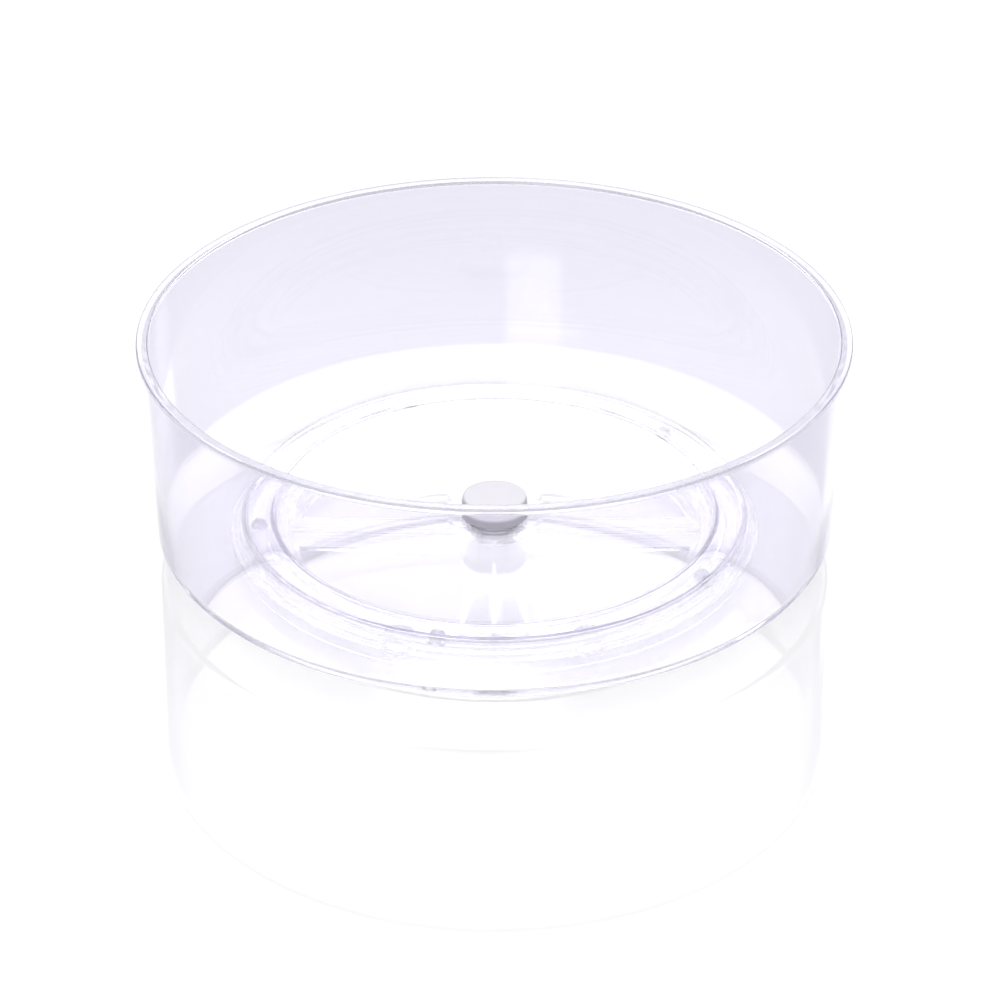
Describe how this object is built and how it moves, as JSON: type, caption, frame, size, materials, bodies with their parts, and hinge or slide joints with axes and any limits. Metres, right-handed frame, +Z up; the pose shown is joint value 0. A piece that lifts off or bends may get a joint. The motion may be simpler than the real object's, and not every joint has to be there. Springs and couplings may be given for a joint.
{
  "type": "lazy susan turntable",
  "caption": "Round clear plastic storage tray with a tall wall and lip, turning on a ring of balls over a low four-spoked base.",
  "frame": {"origin": "on the table, at the centre of the circle that the eight feet stand on", "axes": "+Z up along the axis that the tray turns about; +X and +Y along the base's spokes"},
  "size_m": [0.28, 0.28, 0.0949],
  "materials": {
    "clear_plastic": "polished clear polystyrene",
    "frosted_plastic": "fine frosted",
    "natural_acetal": "translucent satin",
    "ball_plastic": "polished",
    "soft_pad": "matt"
  },
  "bodies": {
    "base": {"base": "clear_plastic", "hub_bush": "natural_acetal", "thrust_washer": "natural_acetal", "foot_pad_1": "soft_pad", "foot_pad_2": "soft_pad", "foot_pad_3": "soft_pad", "foot_pad_4": "soft_pad", "foot_pad_5": "soft_pad", "foot_pad_6": "soft_pad", "foot_pad_7": "soft_pad", "foot_pad_8": "soft_pad"},
    "tray": {"tray": "clear_plastic", "hub_cap": "frosted_plastic", "spindle": "natural_acetal", "retaining_clip": "natural_acetal"},
    "ball_cage": {"ball_cage": "clear_plastic"},
    "ball_1": {"ball_1": "ball_plastic"},
    "ball_2": {"ball_2": "ball_plastic"},
    "ball_3": {"ball_3": "ball_plastic"},
    "ball_4": {"ball_4": "ball_plastic"},
    "ball_5": {"ball_5": "ball_plastic"}
  },
  "joints": [
    {"name": "tray_spin", "type": "hinge", "parent": "base", "child": "tray", "pos_m": [0, 0, 0.01205], "axis": [0, 0, 1], "continuous": true},
    {"name": "cage_spin", "type": "hinge", "parent": "base", "child": "ball_cage", "pos_m": [0, 0, 0.01022], "axis": [0, 0, 1], "continuous": true},
    {"name": "ball_1_roll", "type": "hinge", "parent": "ball_cage", "child": "ball_1", "pos_m": [0.07146, 0.06168, 0.01022], "axis": [0.757, 0.6534, 0], "continuous": true},
    {"name": "ball_2_roll", "type": "hinge", "parent": "ball_cage", "child": "ball_2", "pos_m": [-0.03658, 0.08702, 0.01022], "axis": [-0.3875, 0.9219, 0], "continuous": true},
    {"name": "ball_3_roll", "type": "hinge", "parent": "ball_cage", "child": "ball_3", "pos_m": [-0.09407, -0.0079, 0.01022], "axis": [-0.9965, -0.0837, 0], "continuous": true},
    {"name": "ball_4_roll", "type": "hinge", "parent": "ball_cage", "child": "ball_4", "pos_m": [-0.02156, -0.09191, 0.01022], "axis": [-0.2284, -0.9736, 0], "continuous": true},
    {"name": "ball_5_roll", "type": "hinge", "parent": "ball_cage", "child": "ball_5", "pos_m": [0.08075, -0.0489, 0.01022], "axis": [0.8554, -0.518, 0], "continuous": true}
  ],
  "couplings": [
    {"joint": "cage_spin", "follows": "tray_spin", "ratio": 0.5},
    {"joint": "ball_1_roll", "follows": "tray_spin", "ratio": -14.866},
    {"joint": "ball_2_roll", "follows": "tray_spin", "ratio": -14.866},
    {"joint": "ball_3_roll", "follows": "tray_spin", "ratio": -14.866},
    {"joint": "ball_4_roll", "follows": "tray_spin", "ratio": -14.866},
    {"joint": "ball_5_roll", "follows": "tray_spin", "ratio": -14.866}
  ]
}
